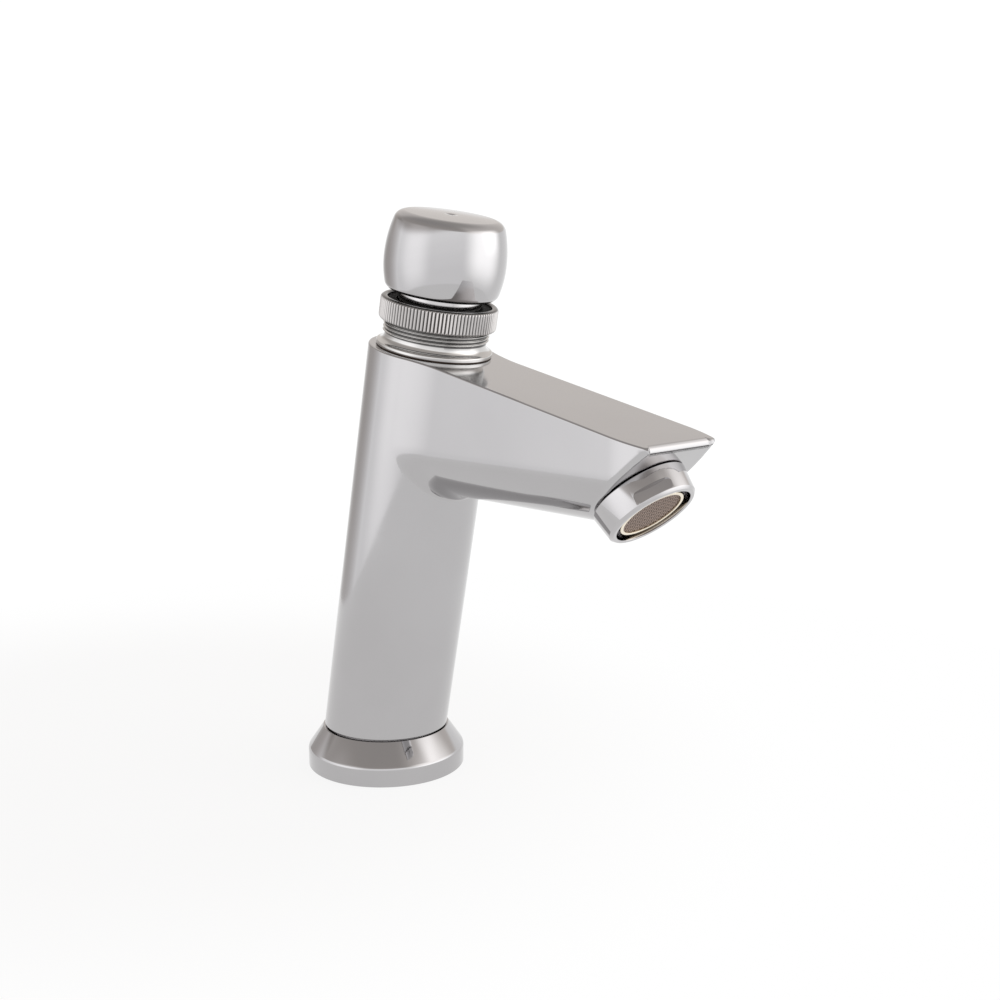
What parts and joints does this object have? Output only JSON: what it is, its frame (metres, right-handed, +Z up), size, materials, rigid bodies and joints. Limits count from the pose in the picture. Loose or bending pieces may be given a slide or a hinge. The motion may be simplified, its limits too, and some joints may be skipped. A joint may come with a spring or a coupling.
{
  "type": "push timed tap",
  "caption": "Push timed basin tap: leaning round column on a base ring, flat-topped spout with screwed aerator, push button over a knurled stop ring, dashpot cartridge inside.",
  "frame": {"origin": "centre of the inlet socket's mouth, in the plane of the basin that the base ring stands on", "axes": "+Z up from the basin, +X along the spout, +Y to the left of someone looking along the spout"},
  "size_m": [0.1294, 0.045, 0.1579],
  "materials": {
    "base_chrome": "polished chrome plate on brass",
    "seal_rubber": "matt black rubber",
    "body_chrome": "polished chrome plate on cast brass",
    "strainer_steel": "perforated stainless steel",
    "valve_brass": "turned brass",
    "ring_rubber": "black nitrile rubber",
    "sleeve_brass": "turned brass",
    "screw_brass": "turned brass",
    "spring_steel": "drawn stainless wire",
    "gasket_fibre": "brown vulcanised fibre",
    "collar_chrome": "chrome plate over a cut thread",
    "bush_plastic": "natural acetal",
    "insert_plastic": "grey moulded plastic",
    "aerator_chrome": "polished chrome plate",
    "mesh_steel": "fine woven stainless wire",
    "cap_brass": "bright brass",
    "brake_plastic": "black nylon",
    "ring_chrome": "chrome plate over straight knurling",
    "button_chrome": "polished chrome plate",
    "stem_chrome": "chrome plate",
    "nut_steel": "zinc-plated steel",
    "spindle_steel": "ground stainless steel",
    "piston_plastic": "natural acetal",
    "clip_steel": "spring steel",
    "washer_rubber": "black rubber",
    "nut_brass": "turned brass"
  },
  "bodies": {
    "tap": {"base_ring": "base_chrome", "base_seal": "seal_rubber", "tap_body": "body_chrome", "inlet_strainer": "strainer_steel", "valve_seat": "valve_brass", "seat_o_ring": "ring_rubber", "cartridge_sleeve": "sleeve_brass", "sleeve_o_ring": "ring_rubber", "bleed_screw": "screw_brass", "return_spring": "spring_steel", "collar_gasket": "gasket_fibre", "cartridge_collar": "collar_chrome", "guide_bush": "bush_plastic", "stem_wiper": "ring_rubber", "aerator_washer": "ring_rubber", "aerator_insert": "insert_plastic", "aerator_housing": "aerator_chrome", "aerator_mesh": "mesh_steel", "aerator_ring": "cap_brass"},
    "ring_carrier": {"ring_brake": "brake_plastic"},
    "stop_ring": {"knurled_ring": "ring_chrome"},
    "plunger": {"push_button": "button_chrome", "button_stem": "stem_chrome", "stem_nut": "nut_steel", "spindle": "spindle_steel", "piston": "piston_plastic", "piston_seal": "ring_rubber", "piston_clip": "clip_steel", "washer_cup": "valve_brass", "valve_washer": "washer_rubber", "washer_nut": "nut_brass"}
  },
  "joints": [
    {"name": "button_push", "type": "slide", "parent": "tap", "child": "plunger", "axis": [-0.2011, 0, -0.9796], "range_m": [0, 0.002], "stiffness_N_per_m": 6000, "springref_m": -0.002, "deforming": ["return_spring"]},
    {"name": "ring_advance", "type": "slide", "parent": "tap", "child": "ring_carrier", "axis": [-0.2011, 0, -0.9796], "range_m": [0, 0.002]},
    {"name": "ring_turn", "type": "hinge", "parent": "ring_carrier", "child": "stop_ring", "pos_m": [0.02433, 0, 0.13053], "axis": [-0.2011, 0, -0.9796], "range_deg": [0, 720]}
  ],
  "couplings": [
    {"joint": "ring_turn", "follows": "ring_advance", "rad_per_m": 6283}
  ]
}
